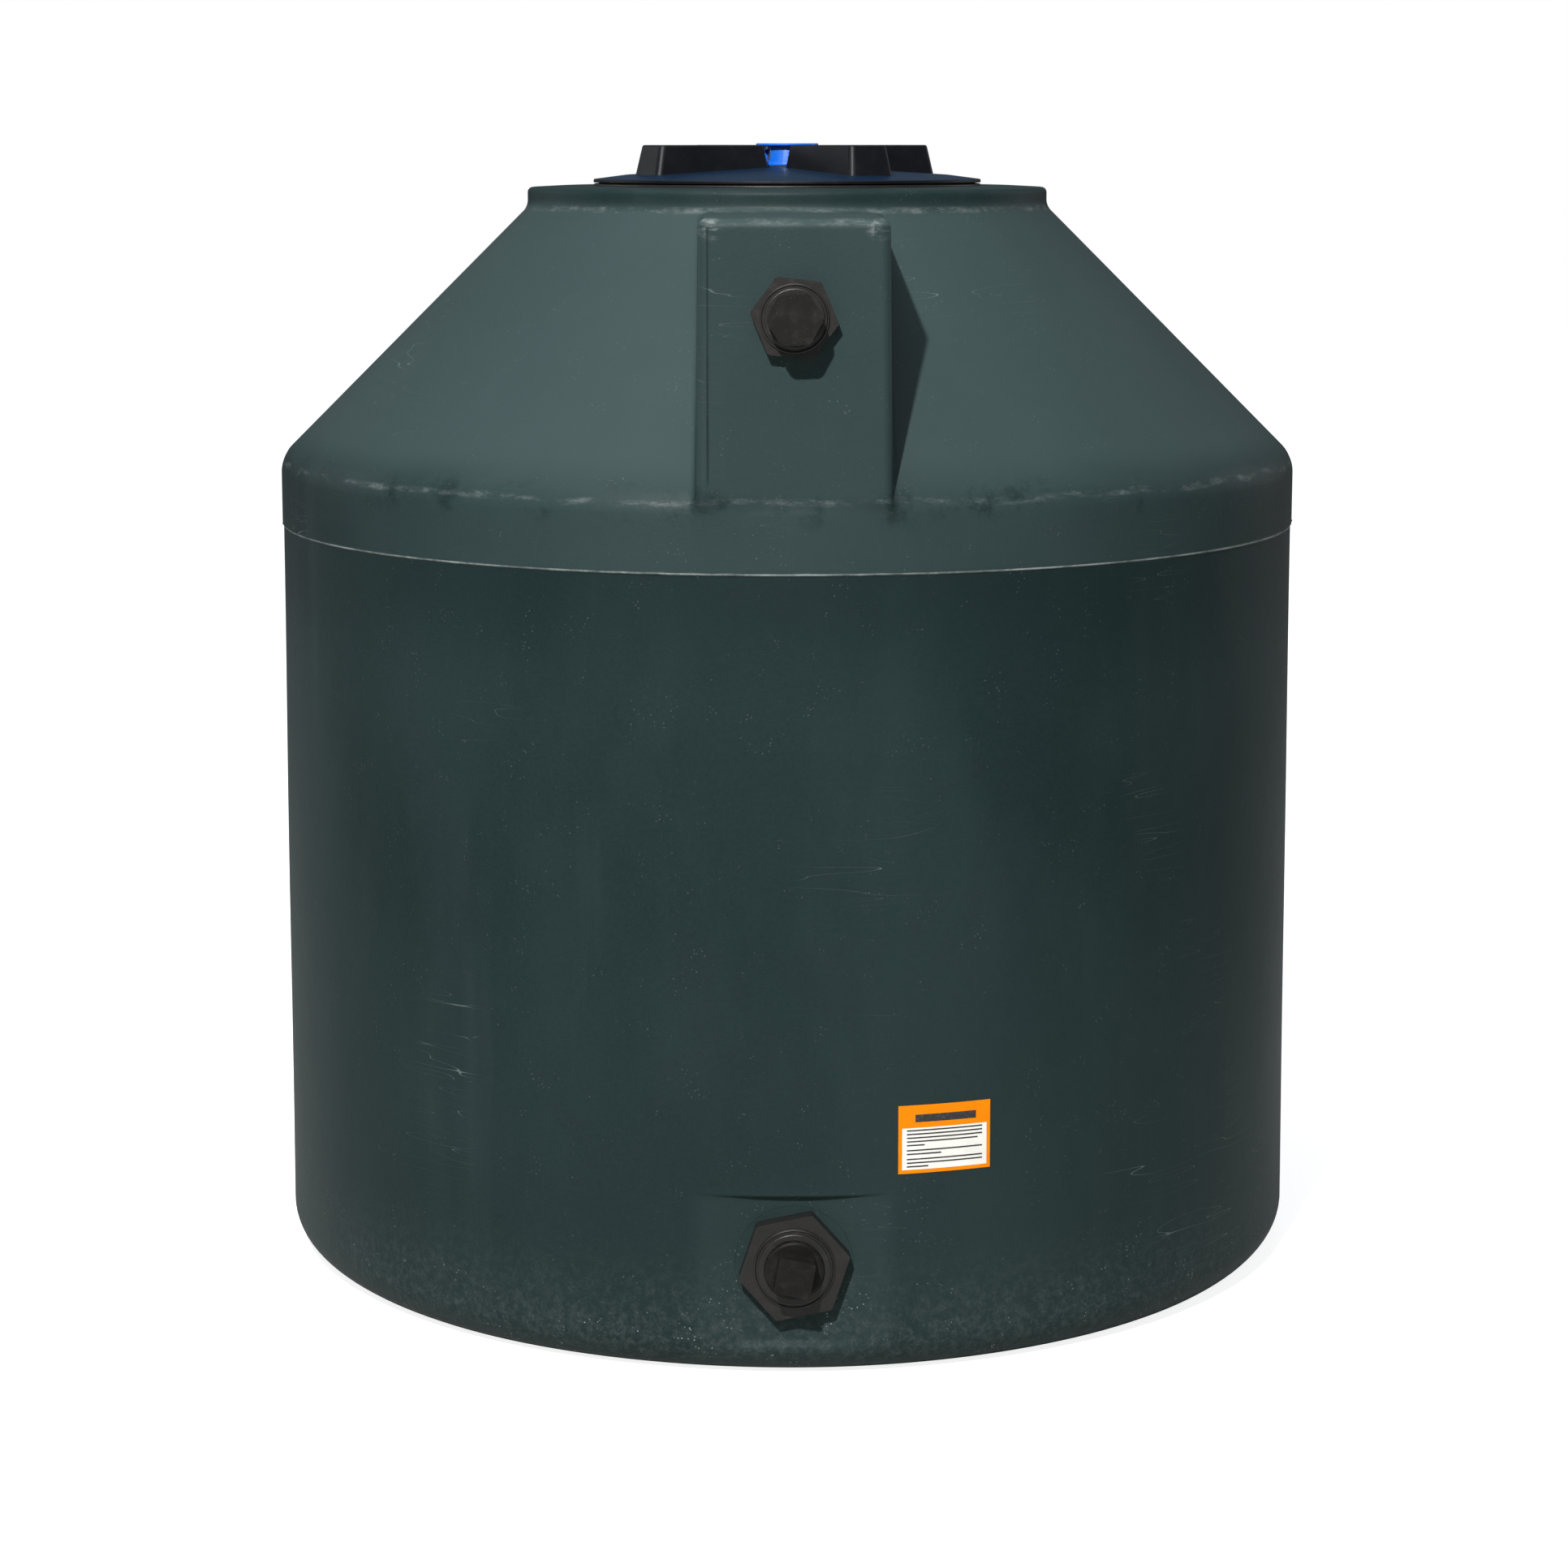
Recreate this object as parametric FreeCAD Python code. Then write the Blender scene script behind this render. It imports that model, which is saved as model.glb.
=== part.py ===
"""Vertical polyethylene water tank, 46 in diameter and 50 in tall, about 305 US gallons.

Millimetres. +Z is up, the origin is on the tank's axis at the underside, and the
fittings face -Y. One STEP file is written for each separate piece.
"""
import math
import os

import FreeCAD
import Part
from FreeCAD import Vector

# ---------------------------------------------------------------- tank shell
TANK_R = 584.2            # 46 in diameter body
WALL = 6.0
BASE_FILLET = 46.0        # rounded foot of the shell
SEAM_Z = 840.0            # mould parting line
BAND_STEP = 1.5           # the upper mould half stands out by this much
BAND_TOP_Z = 914.0        # where the 45 degree roof would meet the body
BAND_ROUND = 20.0
ROOF_R = 300.0            # roof meets the collar
COLLAR_TOP_Z = 1222.0
COLLAR_ROUND = 6.0
NECK_HOLE_R = 209.0

# ------------------------------------------------- moulded pad and lower flat
PAD_HALF_WIDTH = 100.0
PAD_FACE_Y = -584.0
PAD_TOP_Z = 1198.0
PAD_LOW_Z = 908.0
PAD_BACK_Y = -296.0
PAD_TOE = 60.0            # the pad's underside runs this far back into the body
PAD_ROUND = 13.0
FLAT_FACE_Y = -577.7
FLAT_LOW_Z = 36.0
FLAT_HIGH_Z = 194.0

# ------------------------------------------------------------- 16 in manway
RING_R = 224.0
RING_BORE_R = 198.0
RING_NECK_R = 205.5
RING_GASKET_TOP_Z = COLLAR_TOP_Z + 0.8
RING_TOP_Z = 1226.0
RING_LOW_Z = 1178.0
SCREW_COUNT = 12
SCREW_CIRCLE_R = 215.0
SCREW_R = 2.4
SCREW_HEAD_R = 4.6
SCREW_LOW_Z = 1206.0
RECESS_WIDTH = 1.0        # cross recess of a screw
RECESS_LENGTH = 4.6
RECESS_DEPTH = 1.4

# ----------------------------------------------------------------------- lid
LID_LOW_Z = 1227.2
LID_EDGE_Z = 1231.2
LID_SKIRT_R = 194.5
LID_SKIRT_IN_R = 190.0
LID_SKIRT_LOW_Z = 1190.0
LID_THICK = 5.0
DISH_R = 186.0
DISH_EDGE_Z = 1236.0
BOSS_R = 36.0
BOSS_Z = 1245.0
GRIP_DIRECTIONS = (-60.0, 30.0, 120.0, 210.0)
GRIP_IN = 36.5            # lengths and width where a grip meets the dish
GRIP_OUT = 187.0
GRIP_WIDTH = 57.0
GRIP_TAPER = 4.0          # each side leans in by this much at the top
GRIP_END_TAPER = 7.5
GRIP_TOP_Z = 1270.0
GRIP_ROUND = 7.0
GRIP_TOP_ROUND = 3.0
GRIP_WALL = 4.0
GRIP_ROOT = 2.0           # how far a grip is sunk into the dish
GRIP_HOLLOW = 20.0        # its hollow starts this far below the dish

# ---------------------------------------------------------------------- vent
VENT_HOLE_R = 16.0
VENT_STEM_R = 15.8
VENT_BORE_R = 12.0
VENT_FLANGE_R = 32.0
VENT_BODY_R = 27.0
VENT_BODY_IN_R = 23.5
VENT_WASHER_TOP_Z = BOSS_Z + 1.5
VENT_FLANGE_TOP_Z = 1249.5
VENT_BODY_TOP_Z = 1269.6
VENT_CAP_R = 36.0
VENT_CAP_TOP_Z = 1272.0
VENT_STEM_LOW_Z = 1226.5
VENT_NUT_FLATS = 44.0
VENT_NUT_DEPTH = 9.0
VENT_SLOT_WIDTH = 12.0
VENT_SLOT_HEIGHT = 12.0
VENT_SLOT_LOW_Z = 1252.5
VENT_SLOT_BACK = 2.0
VENT_PLUG_IN_R = 19.5     # rim under the cap that presses into the body
VENT_PLUG_R = 21.5
VENT_PLUG_DEPTH = 3.0
VENT_CAP_EDGE = 0.8
SCREEN_THICK = 1.0
SCREEN_GAP = 0.5
LID_GASKET_IN_R = 199.0
LID_GASKET_R = 207.0

# ------------------------------------------------------------------ fittings
UPPER = {
    "prefix": "upper",
    "z": 1099.0,
    "face_y": PAD_FACE_Y,
    "nut_flats": 77.7,
    "nut_turn": -7.0,
    "nut_depth": 16.0,
    "boss_r": 35.0,
    "boss_depth": 3.0,
    "barrel_r": 30.5,
    "barrel_out": 21.5,
    "bore_r": 23.9,
    "flange_r": 46.0,
    "shank_r": 22.9,
    "head": "hex",
    "head_size": 50.0,
    "head_turn": 2.0,
    "collar_r": 24.8,
    "head_out": 48.0,
}
LOWER = {
    "prefix": "lower",
    "z": 123.0,
    "face_y": FLAT_FACE_Y,
    "nut_flats": 102.0,
    "nut_turn": 11.5,
    "nut_depth": 18.0,
    "boss_r": 42.0,
    "boss_depth": 3.0,
    "barrel_r": 37.7,
    "barrel_out": 23.5,
    "bore_r": 30.2,
    "flange_r": 62.0,
    "shank_r": 29.3,
    "head": "square",
    "head_size": 38.0,
    "head_turn": 35.0,
    "collar_r": 30.4,
    "head_out": 52.0,
}
FITTING_GASKET = 3.0
FITTING_FLANGE = 9.0
FITTING_SOCKET = 10.0     # how far the barrel carries on inside the tank
TAPE_GAP = 0.05
TAPE_THICK = 0.35
TAPE_END = 2.0            # bare thread at each end of the tape
PLUG_COLLAR = 4.0         # round shoulder between head and thread
PLUG_GAP = 0.6            # between the shoulder and the end of the barrel
COLLAR_BREAK = 2.0
HEAD_CORNER = 1.5
PLUG_SHANK = 22.0
PLUG_HOLLOW_WALL = 5.0
EDGE_BREAK = 1.0
NUT_CORNER = 3.0
BOSS_GROOVE = 1.2
PAST = 1.0                # joined and cut shapes run past a face by this much

# --------------------------------------------------------------------- label
LABEL_WIDTH = 100.0
LABEL_HEIGHT = 72.0
LABEL_Z = 252.0
LABEL_TURN = 15.5         # degrees to the right of the front
LABEL_THICK = 0.4

UP = Vector(0, 0, 1)
ORIGIN = Vector(0, 0, 0)


def save(name, shape):
    """Write one piece to its own STEP file."""
    shape.exportStep("parts/" + name + ".step")


def revolve(points):
    """Solid of revolution about Z from a closed (radius, z) outline of lines."""
    wire = Part.makePolygon([Vector(r, 0, z) for r, z in points + points[:1]])
    return Part.Face(wire).revolve(ORIGIN, UP, 360)


def ring(r_in, r_out, z_low, z_high):
    """Flat ring about Z."""
    return revolve([(r_in, z_low), (r_out, z_low), (r_out, z_high), (r_in, z_high)])


def disc(r, z_low, z_high):
    """Plain cylinder about Z."""
    return Part.makeCylinder(r, z_high - z_low, Vector(0, 0, z_low))


def arc(centre, radius, start, end):
    """Arc in the (radius, z) half plane, angles in degrees."""
    points = []
    for angle in (start, (start + end) / 2, end):
        a = math.radians(angle)
        points.append(Vector(centre[0] + radius * math.cos(a), 0, centre[1] + radius * math.sin(a)))
    return Part.Arc(*points).toShape()


def line(a, b):
    """Straight edge between two (radius, z) points."""
    return Part.makeLine(Vector(a[0], 0, a[1]), Vector(b[0], 0, b[1]))


def shell_volume(inset):
    """Body of the tank without pad and flat, inset by the wall thickness."""
    body_r = TANK_R - inset
    band_r = TANK_R + BAND_STEP - inset
    foot = BASE_FILLET - inset
    slope_inset = inset * math.sqrt(2.0)
    roof_r = ROOF_R - inset
    roof_z = BAND_TOP_Z + (TANK_R + BAND_STEP - ROOF_R) - slope_inset + inset
    corner_z = BAND_TOP_Z - slope_inset + inset
    top_z = COLLAR_TOP_Z - inset
    top_round = COLLAR_ROUND - min(inset, COLLAR_ROUND - 2.0)
    band_round = BAND_ROUND - inset
    setback = band_round * math.tan(math.radians(22.5))
    slant = setback / math.sqrt(2.0)
    centre = (band_r - band_round, corner_z - setback)
    edges = [
        line((0, inset), (body_r - foot, inset)),
        arc((body_r - foot, inset + foot), foot, -90, 0),
        line((body_r, inset + foot), (body_r, SEAM_Z)),
        line((body_r, SEAM_Z), (band_r, SEAM_Z + BAND_STEP)),
        line((band_r, SEAM_Z + BAND_STEP), (band_r, corner_z - setback)),
        arc(centre, band_round, 0, 45),
        line((band_r - slant, corner_z + slant), (roof_r, roof_z)),
        line((roof_r, roof_z), (roof_r, top_z - top_round)),
        arc((roof_r - top_round, top_z - top_round), top_round, 0, 90),
        line((roof_r - top_round, top_z), (0, top_z)),
        line((0, top_z), (0, inset)),
    ]
    return Part.Face(Part.Wire(edges)).revolve(ORIGIN, UP, 360)


def pad_volume(inset):
    """Box moulded into the roof that carries the upper fitting."""
    half = PAD_HALF_WIDTH - inset
    face = PAD_FACE_Y + inset
    top = PAD_TOP_Z - inset
    low = PAD_LOW_Z + inset
    outline = [
        (face, low),
        (face, top),
        (PAD_BACK_Y, top),
        (PAD_BACK_Y, top - WALL),
        (face + PAD_TOE, low - PAD_TOE),
    ]
    wire = Part.makePolygon([Vector(-half, y, z) for y, z in outline + outline[:1]])
    block = Part.Face(wire).extrude(Vector(2 * half, 0, 0))
    rounded = []
    for edge in block.Edges:
        middle = edge.CenterOfMass
        on_face = abs(middle.y - face) < 0.1 and middle.z > low + 1
        on_top = abs(middle.z - top) < 0.1 and middle.y < PAD_BACK_Y - 1
        if on_face or on_top:
            rounded.append(edge)
    return block.makeFillet(PAD_ROUND - inset, rounded)


def flat_cut(inset):
    """Space in front of the lower flat."""
    depth = 40.0
    width = 400.0
    corner = Vector(-width / 2, FLAT_FACE_Y + inset - depth, FLAT_LOW_Z - inset)
    return Part.makeBox(width, depth, FLAT_HIGH_Z - FLAT_LOW_Z + 2 * inset, corner)


def along_out(shape, fitting):
    """Turn a piece built along +Z so that it points out of a fitting's face."""
    placed = shape.copy()
    placed.rotate(ORIGIN, Vector(1, 0, 0), 90)
    placed.translate(Vector(0, fitting["face_y"], fitting["z"]))
    return placed


def prism(sides, across_flats, z_low, z_high, turn):
    """Regular prism about Z with a corner at the angle turn."""
    corner_r = across_flats / 2 / math.cos(math.pi / sides)
    points = []
    for i in range(sides + 1):
        a = math.radians(turn) + 2 * math.pi * i / sides
        points.append(Vector(corner_r * math.cos(a), corner_r * math.sin(a), z_low))
    return Part.Face(Part.makePolygon(points)).extrude(Vector(0, 0, z_high - z_low))


def boss(f, top):
    """Raised ring on the nut, with a groove round its top."""
    low = f["nut_depth"] - PAST
    outer = f["boss_r"]
    groove = (outer + f["barrel_r"]) / 2
    half = BOSS_GROOVE / 2
    return revolve([
        (0, low),
        (outer, low),
        (outer, top - EDGE_BREAK),
        (outer - EDGE_BREAK, top),
        (groove + half, top),
        (groove, top - BOSS_GROOVE),
        (groove - half, top),
        (0, top),
    ])


def fitting_pieces(f):
    """Bulkhead fitting, its gasket, nut, plug and thread tape."""
    flange_z = -WALL - FITTING_GASKET
    inner_z = flange_z - FITTING_FLANGE
    socket_z = inner_z - FITTING_SOCKET
    barrel_end = f["barrel_out"]
    bore = f["bore_r"]
    chamfer = bore + EDGE_BREAK
    body = revolve([
        (bore, socket_z),
        (f["barrel_r"], socket_z),
        (f["barrel_r"], inner_z),
        (f["flange_r"], inner_z),
        (f["flange_r"], flange_z),
        (f["barrel_r"], flange_z),
        (f["barrel_r"], barrel_end - EDGE_BREAK),
        (f["barrel_r"] - EDGE_BREAK, barrel_end),
        (chamfer, barrel_end),
        (bore, barrel_end - EDGE_BREAK),
    ])
    gasket = ring(f["barrel_r"], f["flange_r"] - EDGE_BREAK, flange_z, -WALL)
    nut = prism(6, f["nut_flats"], 0, f["nut_depth"], f["nut_turn"])
    nut = nut.makeFillet(NUT_CORNER, [edge for edge in nut.Edges if edge.BoundBox.ZLength > PAST])
    boss_top = f["nut_depth"] + f["boss_depth"]
    nut = nut.fuse(boss(f, boss_top)).removeSplitter()
    nut = nut.cut(disc(f["barrel_r"], -PAST, boss_top + PAST))

    collar_low = barrel_end + PLUG_GAP
    collar_high = collar_low + PLUG_COLLAR
    shank_low = collar_low - PLUG_SHANK
    sides = 6 if f["head"] == "hex" else 4
    head = prism(sides, f["head_size"], collar_high - PAST, f["head_out"], f["head_turn"])
    corner_r = f["head_size"] / 2 / math.cos(math.pi / sides) - HEAD_CORNER
    head = head.common(disc(corner_r, collar_high - PAST, f["head_out"]))
    collar = revolve([
        (0, collar_low),
        (f["collar_r"], collar_low),
        (f["collar_r"], collar_high - COLLAR_BREAK),
        (f["collar_r"] - COLLAR_BREAK, collar_high),
        (0, collar_high),
    ])
    plug = head.fuse(collar)
    plug = plug.fuse(disc(f["shank_r"], shank_low, collar_low + PAST)).removeSplitter()
    hollow = disc(f["shank_r"] - PLUG_HOLLOW_WALL, shank_low - PAST, collar_low - TAPE_END)
    plug = plug.cut(hollow)
    tape_r = f["shank_r"] + TAPE_GAP
    tape = ring(tape_r, tape_r + TAPE_THICK, shank_low + TAPE_END, collar_low - TAPE_END)
    return {
        "_fitting_body": body,
        "_fitting_gasket": gasket,
        "_fitting_nut": nut,
        "_plug": plug,
        "_plug_tape": tape,
    }


def tank_shell():
    """One-piece shell with the roof pad, the lower flat and its three openings."""
    outer = shell_volume(0).cut(flat_cut(0)).fuse(pad_volume(0))
    inner = shell_volume(WALL).cut(flat_cut(WALL)).fuse(pad_volume(WALL))
    shell = outer.cut(inner)
    shell = shell.cut(disc(NECK_HOLE_R, COLLAR_TOP_Z - 2 * WALL, COLLAR_TOP_Z + PAST))
    for f in (UPPER, LOWER):
        hole = along_out(disc(f["barrel_r"] + 0.5, -3 * WALL, WALL), f)
        shell = shell.cut(hole)
    for place in screw_places():
        hole = disc(SCREW_R, COLLAR_TOP_Z - 2 * WALL, COLLAR_TOP_Z + PAST)
        hole.translate(place)
        shell = shell.cut(hole)
    return shell


def screw_places():
    """Centres of the ring's fixing screws."""
    places = []
    for i in range(SCREW_COUNT):
        a = 2 * math.pi * (i + 0.5) / SCREW_COUNT
        places.append(Vector(SCREW_CIRCLE_R * math.cos(a), SCREW_CIRCLE_R * math.sin(a), 0))
    return places


def manway_ring():
    """Threaded ring flange on top of the collar."""
    body = revolve([
        (RING_BORE_R, RING_LOW_Z),
        (RING_NECK_R, RING_LOW_Z),
        (RING_NECK_R, RING_GASKET_TOP_Z),
        (RING_R, RING_GASKET_TOP_Z),
        (RING_R, RING_TOP_Z - EDGE_BREAK),
        (RING_R - EDGE_BREAK, RING_TOP_Z),
        (RING_BORE_R + EDGE_BREAK, RING_TOP_Z),
        (RING_BORE_R, RING_TOP_Z - EDGE_BREAK),
    ])
    for place in screw_places():
        hole = disc(SCREW_R, RING_GASKET_TOP_Z - PAST, RING_TOP_Z + PAST)
        hole = hole.fuse(screw_head())
        hole.translate(place)
        body = body.cut(hole)
    return body


def screw_head():
    """Countersunk head, flush with the ring."""
    neck_z = RING_TOP_Z - (SCREW_HEAD_R - SCREW_R)
    return revolve([(0, neck_z), (SCREW_R, neck_z), (SCREW_HEAD_R, RING_TOP_Z), (0, RING_TOP_Z)])


def ring_screws():
    """All fixing screws of the ring, with their cross recesses."""
    screws = []
    for place in screw_places():
        screw = disc(SCREW_R, SCREW_LOW_Z, RING_TOP_Z - PAST).fuse(screw_head()).removeSplitter()
        for turn in (0, 90):
            corner = Vector(-RECESS_WIDTH / 2, -RECESS_LENGTH / 2, RING_TOP_Z - RECESS_DEPTH)
            slot = Part.makeBox(RECESS_WIDTH, RECESS_LENGTH, RECESS_DEPTH + PAST, corner)
            slot.rotate(ORIGIN, UP, turn)
            screw = screw.cut(slot)
        screw.translate(place)
        screws.append(screw)
    return Part.makeCompound(screws)


def ring_gasket():
    """Flat gasket between the ring and the collar."""
    gasket = ring(NECK_HOLE_R, RING_R - EDGE_BREAK, COLLAR_TOP_Z, RING_GASKET_TOP_Z)
    for place in screw_places():
        hole = disc(SCREW_R, COLLAR_TOP_Z - PAST, RING_GASKET_TOP_Z + PAST)
        hole.translate(place)
        gasket = gasket.cut(hole)
    return gasket


def grip(direction, inset, z_low):
    """One raised, tapered grip of the lid, or its hollow when inset is the wall."""
    half = GRIP_WIDTH / 2 - inset
    top = GRIP_TOP_Z - inset
    start = GRIP_IN + inset
    end = GRIP_OUT - inset
    block = Part.makeWedge(
        start, z_low, -half, -half + GRIP_TAPER, start + GRIP_END_TAPER,
        end, top, half, half - GRIP_TAPER, end - GRIP_END_TAPER,
    )
    block.rotate(ORIGIN, Vector(1, 0, 0), 90)
    upright = [edge for edge in block.Edges if edge.BoundBox.ZLength > (top - z_low) / 2]
    block = block.makeFillet(GRIP_ROUND - inset / 2, upright)
    rim = [edge for edge in block.Edges if edge.BoundBox.ZMin > top - 0.1]
    block = block.makeFillet(GRIP_TOP_ROUND - inset / 4, rim)
    block.rotate(ORIGIN, UP, direction)
    return block


def manway_lid():
    """Screw-on lid: flange, domed dish, four hollow grips and threaded skirt."""
    outline = [
        (VENT_HOLE_R, BOSS_Z - LID_THICK),
        (BOSS_R, BOSS_Z - LID_THICK),
        (DISH_R, DISH_EDGE_Z - LID_THICK),
        (LID_SKIRT_IN_R, LID_SKIRT_LOW_Z),
        (LID_SKIRT_R, LID_SKIRT_LOW_Z),
        (LID_SKIRT_R, LID_LOW_Z),
        (RING_R, LID_LOW_Z),
        (RING_R, LID_EDGE_Z - EDGE_BREAK),
        (RING_R - EDGE_BREAK, LID_EDGE_Z),
        (DISH_R, DISH_EDGE_Z),
        (BOSS_R, BOSS_Z),
        (VENT_HOLE_R, BOSS_Z),
    ]
    lid = revolve(outline)
    for direction in GRIP_DIRECTIONS:
        lid = lid.fuse(grip(direction, 0, DISH_EDGE_Z - GRIP_ROOT))
    for direction in GRIP_DIRECTIONS:
        lid = lid.cut(grip(direction, GRIP_WALL, DISH_EDGE_Z - GRIP_HOLLOW))
    return lid.removeSplitter()


def vent_body():
    """Breather body: flange, drum with a slot behind each grip, and threaded stem."""
    body = revolve([
        (VENT_BORE_R, VENT_STEM_LOW_Z),
        (VENT_STEM_R, VENT_STEM_LOW_Z),
        (VENT_STEM_R, VENT_WASHER_TOP_Z),
        (VENT_FLANGE_R, VENT_WASHER_TOP_Z),
        (VENT_FLANGE_R, VENT_FLANGE_TOP_Z),
        (VENT_BODY_R, VENT_FLANGE_TOP_Z),
        (VENT_BODY_R, VENT_BODY_TOP_Z),
        (VENT_BODY_IN_R, VENT_BODY_TOP_Z),
        (VENT_BODY_IN_R, VENT_FLANGE_TOP_Z),
        (VENT_BORE_R, VENT_FLANGE_TOP_Z),
    ])
    for direction in GRIP_DIRECTIONS:
        corner = Vector(VENT_BODY_IN_R - VENT_SLOT_BACK, -VENT_SLOT_WIDTH / 2, VENT_SLOT_LOW_Z)
        slot = Part.makeBox(VENT_BODY_R, VENT_SLOT_WIDTH, VENT_SLOT_HEIGHT, corner)
        slot.rotate(ORIGIN, UP, direction)
        body = body.cut(slot)
    return body


def vent_cap():
    """Flat cap pressed into the top of the breather body."""
    return revolve([
        (0, VENT_BODY_TOP_Z),
        (VENT_PLUG_IN_R, VENT_BODY_TOP_Z),
        (VENT_PLUG_IN_R, VENT_BODY_TOP_Z - VENT_PLUG_DEPTH),
        (VENT_PLUG_R, VENT_BODY_TOP_Z - VENT_PLUG_DEPTH),
        (VENT_PLUG_R, VENT_BODY_TOP_Z),
        (VENT_CAP_R, VENT_BODY_TOP_Z),
        (VENT_CAP_R, VENT_CAP_TOP_Z - VENT_CAP_EDGE),
        (VENT_CAP_R - VENT_CAP_EDGE, VENT_CAP_TOP_Z),
        (0, VENT_CAP_TOP_Z),
    ])


def vent_screen():
    """Insect screen sleeve inside the drum, below the cap's rim."""
    top = VENT_BODY_TOP_Z - VENT_PLUG_DEPTH - SCREEN_GAP
    return ring(VENT_BODY_IN_R - SCREEN_THICK, VENT_BODY_IN_R, VENT_FLANGE_TOP_Z, top)


def vent_nut():
    """Hex nut that clamps the breather from inside the lid."""
    top = BOSS_Z - LID_THICK
    low = top - VENT_NUT_DEPTH
    nut = prism(6, VENT_NUT_FLATS, low, top, 0)
    return nut.cut(disc(VENT_STEM_R, low - PAST, top + PAST))


def info_label():
    """Blank information label stuck to the body."""
    spread = math.degrees(LABEL_WIDTH / TANK_R)
    face = Part.makePolygon([
        Vector(TANK_R, 0, LABEL_Z - LABEL_HEIGHT / 2),
        Vector(TANK_R + LABEL_THICK, 0, LABEL_Z - LABEL_HEIGHT / 2),
        Vector(TANK_R + LABEL_THICK, 0, LABEL_Z + LABEL_HEIGHT / 2),
        Vector(TANK_R, 0, LABEL_Z + LABEL_HEIGHT / 2),
        Vector(TANK_R, 0, LABEL_Z - LABEL_HEIGHT / 2),
    ])
    label = Part.Face(face).revolve(ORIGIN, UP, spread)
    label.rotate(ORIGIN, UP, -90 + LABEL_TURN - spread / 2)
    return label


os.makedirs("parts", exist_ok=True)
save("tank_shell", tank_shell())
save("manway_ring", manway_ring())
save("manway_ring_gasket", ring_gasket())
save("ring_screws", ring_screws())
save("manway_lid", manway_lid())
save("lid_gasket", ring(LID_GASKET_IN_R, LID_GASKET_R, RING_TOP_Z, LID_LOW_Z))
save("vent_body", vent_body())
save("vent_cap", vent_cap())
save("vent_screen", vent_screen())
save("vent_washer", ring(VENT_HOLE_R, VENT_FLANGE_R - EDGE_BREAK, BOSS_Z, VENT_WASHER_TOP_Z))
save("vent_nut", vent_nut())
for fitting in (UPPER, LOWER):
    for suffix, piece in fitting_pieces(fitting).items():
        save(fitting["prefix"] + suffix, along_out(piece, fitting))
save("info_label", info_label())
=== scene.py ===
"""Looks of the upright water tank: shell, lid, breather, fittings, label, studio and camera.

Metres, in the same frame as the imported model: +Z up, the origin on the tank's axis at
its underside, and the fittings towards -Y.
"""
import math

import bpy
import numpy as np
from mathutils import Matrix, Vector


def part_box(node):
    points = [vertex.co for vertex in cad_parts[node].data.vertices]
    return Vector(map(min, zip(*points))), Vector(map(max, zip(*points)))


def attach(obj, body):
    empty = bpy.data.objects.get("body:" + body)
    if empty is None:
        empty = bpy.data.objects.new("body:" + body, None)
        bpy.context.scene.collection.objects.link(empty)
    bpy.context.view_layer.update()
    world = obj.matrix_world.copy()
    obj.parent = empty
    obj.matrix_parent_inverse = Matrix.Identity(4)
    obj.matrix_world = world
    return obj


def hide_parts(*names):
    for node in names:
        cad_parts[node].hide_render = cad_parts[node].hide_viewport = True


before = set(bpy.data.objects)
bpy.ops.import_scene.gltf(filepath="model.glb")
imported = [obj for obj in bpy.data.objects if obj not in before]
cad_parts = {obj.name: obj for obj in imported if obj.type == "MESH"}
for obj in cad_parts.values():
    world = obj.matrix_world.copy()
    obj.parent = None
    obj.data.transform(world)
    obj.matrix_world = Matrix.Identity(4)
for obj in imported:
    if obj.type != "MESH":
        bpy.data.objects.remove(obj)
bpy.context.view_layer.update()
MM = 0.001

# ------------------------------------------------------------------ measures
_, shell_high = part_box("tank_shell")
label_low, label_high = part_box("info_label")
BAND_R = shell_high.x
BAND_STEP = 1.5 * MM
TANK_R = BAND_R - BAND_STEP
COLLAR_TOP = shell_high.z
COLLAR_R = 300 * MM
SEAM_Z = 840 * MM
BAND_TOP_Z = 914 * MM
WALL = 6 * MM
FOOT_ROUND = 46 * MM
BAND_ROUND = 11 * MM
COLLAR_ROUND = 6 * MM
COLLAR_FILLET = 5 * MM
NECK_HOLE_R = 209 * MM
COLLAR_FOOT_Z = BAND_TOP_Z + BAND_R - COLLAR_R
PAD_HALF = 100 * MM
PAD_FACE = 584 * MM
PAD_BACK = 250 * MM
PAD_TOP = 1198 * MM
PAD_LOW = 908 * MM
PAD_ROUND = 10 * MM
PAD_FILLET = 6 * MM
PAD_FOOT_ROUND = 8 * MM
PAD_DRAFT = 0.012         # the pad narrows by this much per metre of height, on each side
FLAT_FACE = 577.7 * MM
FLAT_LOW = 36 * MM
FLAT_HIGH = 194 * MM
FLAT_ROUND = 3 * MM
STEP_BLEND = 1.4 * MM     # half height over which the band's step fades in
FLASH_OUT = 1.3 * MM      # about how far the flash line stands out, and its half height
# The lid's tint below is a painted reflection of the sky on its dish.
TINT_FULL_Z = 1246 * MM   # the lid's tint is full up to this height
TINT_NONE_Z = 1252 * MM   # and gone above this one
BORE_GAP = 0.4 * MM       # round each fitting's barrel
BORE_DEPTH = 80 * MM
LABEL_TURN = math.atan2(label_low.x + label_high.x, -label_low.y - label_high.y)
LABEL_Z = (label_low.z + label_high.z) / 2
LABEL_CLEAR = 75 * MM     # the shell is true under and around the label
FAN_Z = 600 * MM          # the upper rows of the shell fan out from this height
FOOT_FAN_Z = 100 * MM     # and the lower ones from this height
RAY_REACH = 1.4           # past the whole tank, in metres
HALVINGS = 34             # steps that close in on the surface along each ray


def middle(node):
    """Middle of a CAD node's box."""
    low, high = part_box(node)
    return (low + high) / 2


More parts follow.
